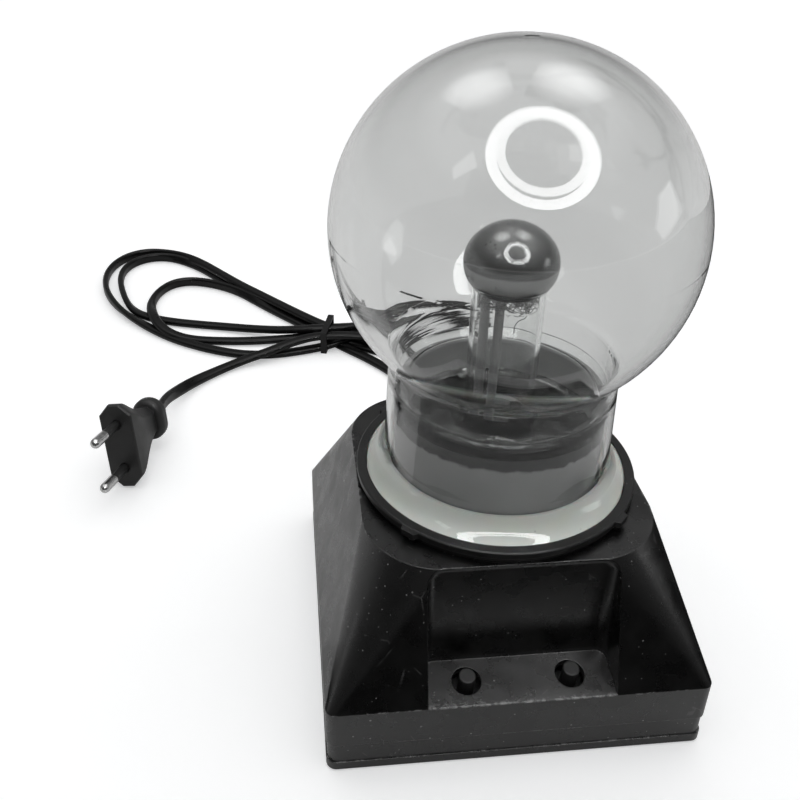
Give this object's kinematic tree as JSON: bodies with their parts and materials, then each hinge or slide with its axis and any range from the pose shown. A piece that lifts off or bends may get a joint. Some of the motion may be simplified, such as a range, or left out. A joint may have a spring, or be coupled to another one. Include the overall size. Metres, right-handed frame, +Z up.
{
  "type": "plasma ball",
  "caption": "Mains plasma ball: clear glass globe with a ball electrode on a square tapered base with a finger recess and push buttons, flat lead and two-pin plug.",
  "frame": {"origin": "centre of the base where its feet rest on the table", "axes": "+Z up through the globe, -Y towards the finger recess and its push buttons, +X to the right seen from the front"},
  "size_m": [0.2291, 0.3635, 0.1915],
  "materials": {
    "housing_plastic": "fine-grained matt black ABS with light dust and edge wear",
    "collar_plastic": "matt dark plastic",
    "cup_gloss": "glossy black plastic",
    "white_silicone": "glossy white silicone",
    "clear_glass": "clear polished glass",
    "coating": "dark grey-brown conductive coating seen through glass",
    "steel_wool": "tangled fine steel fibres",
    "lead_grey": "grey silicone insulation",
    "rubber": "black rubber",
    "screw_steel": "zinc-plated steel",
    "board": "solder-masked board",
    "core_steel": "varnished steel laminations",
    "ferrite": "sintered ferrite",
    "winding": "yellow insulating tape",
    "heat_sink": "extruded, bare",
    "component_black": "moulded black",
    "button_plastic": "satin black plastic",
    "cord_black": "satin black PVC",
    "tie_black": "thin black plastic",
    "plug_black": "satin black PVC moulding",
    "pin_metal": "nickel-plated brass"
  },
  "bodies": {
    "base": {"base_band": "housing_plastic", "base_screws": "screw_steel", "board_screws": "screw_steel", "bottom_plate": "housing_plastic", "capacitors": "component_black", "clamp_screws": "screw_steel", "collar_screws": "screw_steel", "cord_clamp": "component_black", "cord_hank": "cord_black", "cord_tail": "cord_black", "cord_tie": "tie_black", "driver_board": "board", "electrode_coating": "coating", "exhaust_tip": "clear_glass", "glass_gasket": "white_silicone", "glass_globe": "clear_glass", "heat_sink": "heat_sink", "hv_lead": "lead_grey", "hv_transformer_core": "ferrite", "hv_transformer_winding": "winding", "mains_cord_base": "cord_black", "mains_cord_plug": "cord_black", "mains_transformer_core": "core_steel", "mains_transformer_winding": "winding", "microphone": "heat_sink", "neck_cup": "cup_gloss", "plug_body": "plug_black", "plug_pins": "pin_metal", "plug_sleeves": "plug_black", "power_spring": "screw_steel", "power_switch": "component_black", "power_transistor": "component_black", "retaining_collar": "collar_plastic", "rubber_feet": "rubber", "sound_spring": "screw_steel", "sound_switch": "component_black", "steel_wool": "steel_wool", "stem_glass": "clear_glass", "strain_relief": "cord_black", "switch_board": "board", "upper_housing": "housing_plastic"},
    "power_button": {"power_plunger": "button_plastic"},
    "sound_button": {"sound_plunger": "button_plastic"}
  },
  "joints": [
    {"name": "power_press", "type": "slide", "parent": "base", "child": "power_button", "axis": [0, 0.1736, -0.9848], "range_m": [0, 0.002], "stiffness_N_per_m": 350, "springref_m": -0.003, "deforming": ["power_spring"]},
    {"name": "sound_press", "type": "slide", "parent": "base", "child": "sound_button", "axis": [0, 0.1736, -0.9848], "range_m": [0, 0.002], "stiffness_N_per_m": 350, "springref_m": -0.003, "deforming": ["sound_spring"]}
  ]
}
